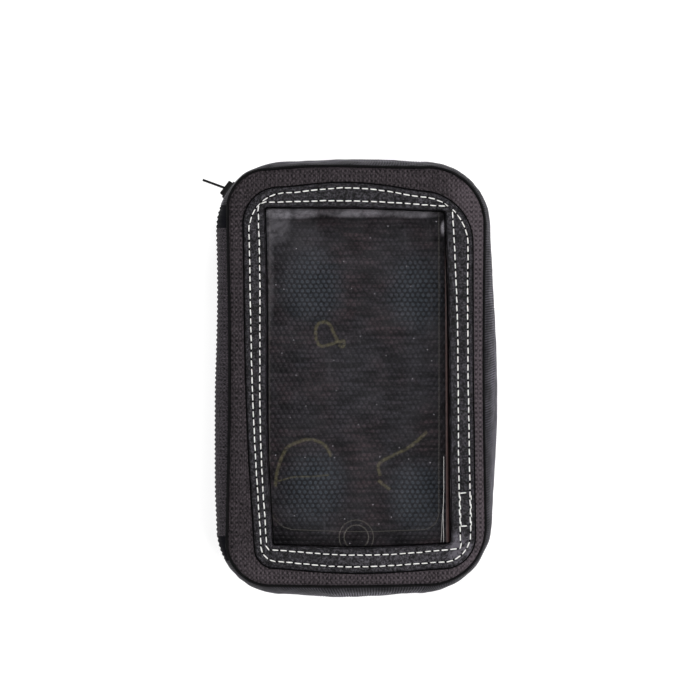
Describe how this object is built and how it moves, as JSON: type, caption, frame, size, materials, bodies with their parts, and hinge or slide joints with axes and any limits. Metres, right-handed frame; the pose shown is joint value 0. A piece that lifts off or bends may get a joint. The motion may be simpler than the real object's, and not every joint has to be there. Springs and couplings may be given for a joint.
{
  "type": "tank bag",
  "caption": "Small magnetic motorcycle tank bag with a clear phone window, opening like a book round a three-sided zip.",
  "frame": {"origin": "middle of the underside, which lies on the tank", "axes": "+Z out of the window, +Y to the top edge, +X to the side that opens, with the fabric spine on -X"},
  "size_m": [0.1367, 0.2036, 0.04],
  "materials": {
    "nonslip_cloth": "matt, fine non-slip dots",
    "piping_cloth": "matt",
    "foam": "matt closed-cell foam",
    "magnet": "dull",
    "board": "matt",
    "lining_cloth": "fine plain weave",
    "gusset_tape": "ribbed tape",
    "coil": "satin",
    "stop_metal": "satin",
    "tab_cloth": "smooth",
    "outer_cloth": "coarse basket weave",
    "frame_leather": "satin, fine grain",
    "thread": "twisted thread",
    "clear_film": "glossy, lightly wrinkled",
    "dotted_cloth": "non-slip dots",
    "loop_fabric": "looped pile",
    "hook_fabric": "hooked",
    "slider_metal": "satin black"
  },
  "bodies": {
    "base": {"base_panel": "nonslip_cloth", "base_piping": "piping_cloth", "magnet_foam": "foam", "magnet_top_left": "magnet", "magnet_top_right": "magnet", "magnet_bottom_left": "magnet", "magnet_bottom_right": "magnet", "base_stiffener": "board", "base_lining": "lining_cloth", "zip_tape_base": "gusset_tape", "zip_coil_base": "coil", "zip_top_stop": "stop_metal", "zip_bottom_stop": "stop_metal", "zip_tab_top_base": "tab_cloth", "zip_tab_bottom_base": "tab_cloth", "spine_base": "outer_cloth"},
    "lid": {"lid_panel": "outer_cloth", "lid_piping": "piping_cloth", "zip_tape_lid": "gusset_tape", "zip_coil_lid": "coil", "spine_lid": "outer_cloth", "zip_tab_top_lid": "tab_cloth", "zip_tab_bottom_lid": "tab_cloth", "window_frame": "frame_leather", "stitches_inner": "thread", "stitches_outer": "thread", "window_film": "clear_film", "sleeve_film": "clear_film", "lid_foam": "foam", "pocket_back": "dotted_cloth", "lid_lining": "lining_cloth", "loop_patch": "loop_fabric", "hook_patch": "hook_fabric", "closure_tab": "outer_cloth"},
    "slider": {"slider_body": "slider_metal"},
    "pull": {"pull_tab": "slider_metal"}
  },
  "joints": [
    {"name": "lid_hinge", "type": "hinge", "parent": "base", "child": "lid", "pos_m": [-0.0652, 0, 0.02], "axis": [0, -1, 0], "range_deg": [0, 180]},
    {"name": "zip_run", "type": "hinge", "parent": "base", "child": "slider", "pos_m": [-0.0285, 0.0645, 0.02], "axis": [0, 0, 1], "range_deg": [-50, 0]},
    {"name": "pull_swing", "type": "hinge", "parent": "slider", "child": "pull", "pos_m": [-0.05961, 0.08794, 0.02], "axis": [0, 0, 1], "range_deg": [-88, 22]}
  ]
}
